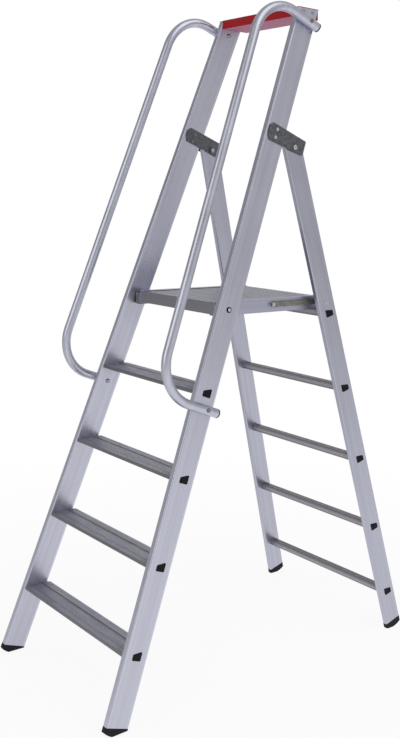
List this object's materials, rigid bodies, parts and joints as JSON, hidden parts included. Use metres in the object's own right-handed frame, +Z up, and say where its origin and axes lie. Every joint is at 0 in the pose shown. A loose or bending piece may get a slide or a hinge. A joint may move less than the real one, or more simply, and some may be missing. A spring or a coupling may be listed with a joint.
{
  "type": "folding platform stepladder",
  "caption": "Free-standing folding aluminium stepladder with ribbed treads, a standing platform, bent side handrails, a top tool tray and a hinged rear frame with rungs.",
  "frame": {"origin": "on the floor, in the middle of the footprint of the open ladder", "axes": "+Z up, -Y towards the climber's side, +X to the climber's right"},
  "size_m": [0.626, 1.2154, 2.0013],
  "materials": {
    "stile_aluminium": "extruded mill finish, faint lengthwise lines",
    "tread_aluminium": "extruded mill finish, ribbed and slightly dull",
    "tube_aluminium": "drawn tube, satin",
    "galvanised_steel": "galvanised, matt dark grey",
    "fastener_steel": "zinc plated, bright",
    "red_paint": "powder coated, semi-gloss",
    "black_plastic": "moulded, matt",
    "grey_plastic": "moulded, matt",
    "nylon": "moulded, satin"
  },
  "bodies": {
    "front_frame": {"front_stile_left": "stile_aluminium", "front_stile_right": "stile_aluminium", "tread_1": "tread_aluminium", "tread_2": "tread_aluminium", "tread_3": "tread_aluminium", "tread_4": "tread_aluminium", "tread_plugs": "black_plastic", "front_foot_left": "black_plastic", "front_foot_right": "black_plastic", "handrail_left": "tube_aluminium", "handrail_right": "tube_aluminium", "handrail_end_plugs": "grey_plastic", "handrail_bolts": "fastener_steel", "handrail_nuts": "fastener_steel", "top_tray": "red_paint", "tray_rivets": "fastener_steel", "hinge_plate_left_outer": "galvanised_steel", "hinge_plate_left_inner": "galvanised_steel", "hinge_plate_right_outer": "galvanised_steel", "hinge_plate_right_inner": "galvanised_steel", "hinge_rivets": "fastener_steel", "hinge_bolts": "fastener_steel", "hinge_nuts": "fastener_steel", "platform_pivot_bolts": "fastener_steel", "platform_pivot_washers": "black_plastic", "platform_pivot_nuts": "fastener_steel"},
    "rear_frame": {"rear_stile_left": "stile_aluminium", "rear_stile_right": "stile_aluminium", "rear_rung_1": "tread_aluminium", "rear_rung_2": "tread_aluminium", "rear_rung_3": "tread_aluminium", "rear_rung_4": "tread_aluminium", "rear_rung_5": "tread_aluminium", "rung_plugs": "black_plastic", "rear_foot_left": "black_plastic", "rear_foot_right": "black_plastic", "hinge_bushes": "nylon", "stay_spacers": "galvanised_steel", "stay_rivets": "fastener_steel"},
    "platform": {"platform_plank_1": "tread_aluminium", "platform_plank_2": "tread_aluminium", "platform_plank_3": "tread_aluminium", "platform_plank_4": "tread_aluminium", "platform_plank_5": "tread_aluminium", "platform_plank_6": "tread_aluminium", "platform_side_left": "stile_aluminium", "platform_side_right": "stile_aluminium", "plank_rivets": "fastener_steel", "platform_bracket_left": "galvanised_steel", "platform_bracket_right": "galvanised_steel", "bracket_rivets": "fastener_steel", "stay_studs": "fastener_steel"},
    "stay_left": {"stay_left": "galvanised_steel", "stay_eye_rivet_left": "fastener_steel"},
    "stay_right": {"stay_right": "galvanised_steel", "stay_eye_rivet_right": "fastener_steel"}
  },
  "joints": [
    {"name": "fold", "type": "hinge", "parent": "front_frame", "child": "rear_frame", "pos_m": [0, 0.11021, 1.59826], "axis": [-1, 0, 0], "range_deg": [0, 36.7]},
    {"name": "platform_lift", "type": "hinge", "parent": "front_frame", "child": "platform", "pos_m": [0, -0.15013, 1.13548], "axis": [1, 0, 0], "range_deg": [0, 69.6]},
    {"name": "stay_swing_left", "type": "hinge", "parent": "platform", "child": "stay_left", "pos_m": [-0.194, 0.0592, 1.13548], "axis": [-1, 0, 0], "range_deg": [0, 153.65]},
    {"name": "stay_swing_right", "type": "hinge", "parent": "platform", "child": "stay_right", "pos_m": [0.194, 0.0592, 1.13548], "axis": [-1, 0, 0], "range_deg": [0, 153.65]}
  ],
  "couplings": [
    {"joint": "platform_lift", "follows": "fold", "ratio": 1.8964},
    {"joint": "stay_swing_left", "follows": "fold", "ratio": 4.1867},
    {"joint": "stay_swing_right", "follows": "fold", "ratio": 4.1867}
  ]
}
